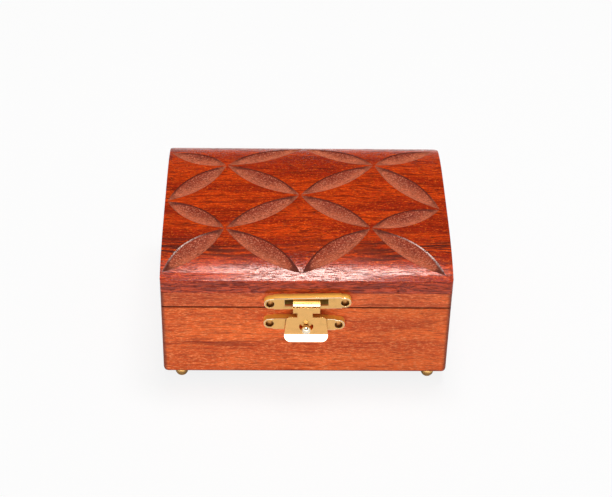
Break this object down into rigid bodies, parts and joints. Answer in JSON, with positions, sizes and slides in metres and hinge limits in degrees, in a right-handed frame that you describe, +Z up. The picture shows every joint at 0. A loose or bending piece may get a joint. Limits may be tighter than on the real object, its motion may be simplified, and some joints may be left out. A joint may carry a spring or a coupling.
{
  "type": "dice box",
  "caption": "Small lacquered wooden dice box with a carved domed lid on butt hinges, a pressed brass hasp latch over a ball stud, felt lining and ball feet.",
  "frame": {"origin": "on the surface the feet stand on, at the middle of the whole object's width and depth", "axes": "+X to the right seen from the latch side, -Y towards the latch side, +Z up"},
  "size_m": [0.102, 0.0866, 0.0518],
  "materials": {
    "lacquered_wood": "gloss lacquer over reddish hardwood",
    "carved_wood": "gloss lacquer, matte in the carving",
    "pressed_brass": "polished pressed sheet",
    "brass": "polished",
    "nail_brass": "dull",
    "felt": "dark red felt"
  },
  "bodies": {
    "base": {"base_front_wall": "lacquered_wood", "base_back_wall": "lacquered_wood", "base_left_wall": "lacquered_wood", "base_right_wall": "lacquered_wood", "base_floor": "lacquered_wood", "base_felt_lining": "felt", "front_left_foot": "brass", "front_right_foot": "brass", "back_left_foot": "brass", "back_right_foot": "brass", "catch_plate": "pressed_brass", "catch_stud": "brass", "catch_plate_nails": "nail_brass", "left_hinge_base_leaf": "brass", "right_hinge_base_leaf": "brass", "left_hinge_pin": "brass", "right_hinge_pin": "brass", "hinge_base_nails": "nail_brass"},
    "lid": {"lid_board": "carved_wood", "lid_front_rail": "lacquered_wood", "lid_back_rail": "lacquered_wood", "lid_left_rail": "lacquered_wood", "lid_right_rail": "lacquered_wood", "left_hinge_lid_leaf": "brass", "right_hinge_lid_leaf": "brass", "hinge_lid_nails": "nail_brass", "hasp_plate": "pressed_brass", "hasp_plate_nails": "nail_brass"},
    "hasp": {"hasp": "pressed_brass"}
  },
  "joints": [
    {"name": "lid_hinge", "type": "hinge", "parent": "base", "child": "lid", "pos_m": [0, 0.04147, 0.03515], "axis": [-1, 0, 0], "range_deg": [0, 105]},
    {"name": "hasp_swing", "type": "hinge", "parent": "lid", "child": "hasp", "pos_m": [0, -0.03868, 0.0382], "axis": [-1, 0, 0], "range_deg": [0, 120]}
  ]
}
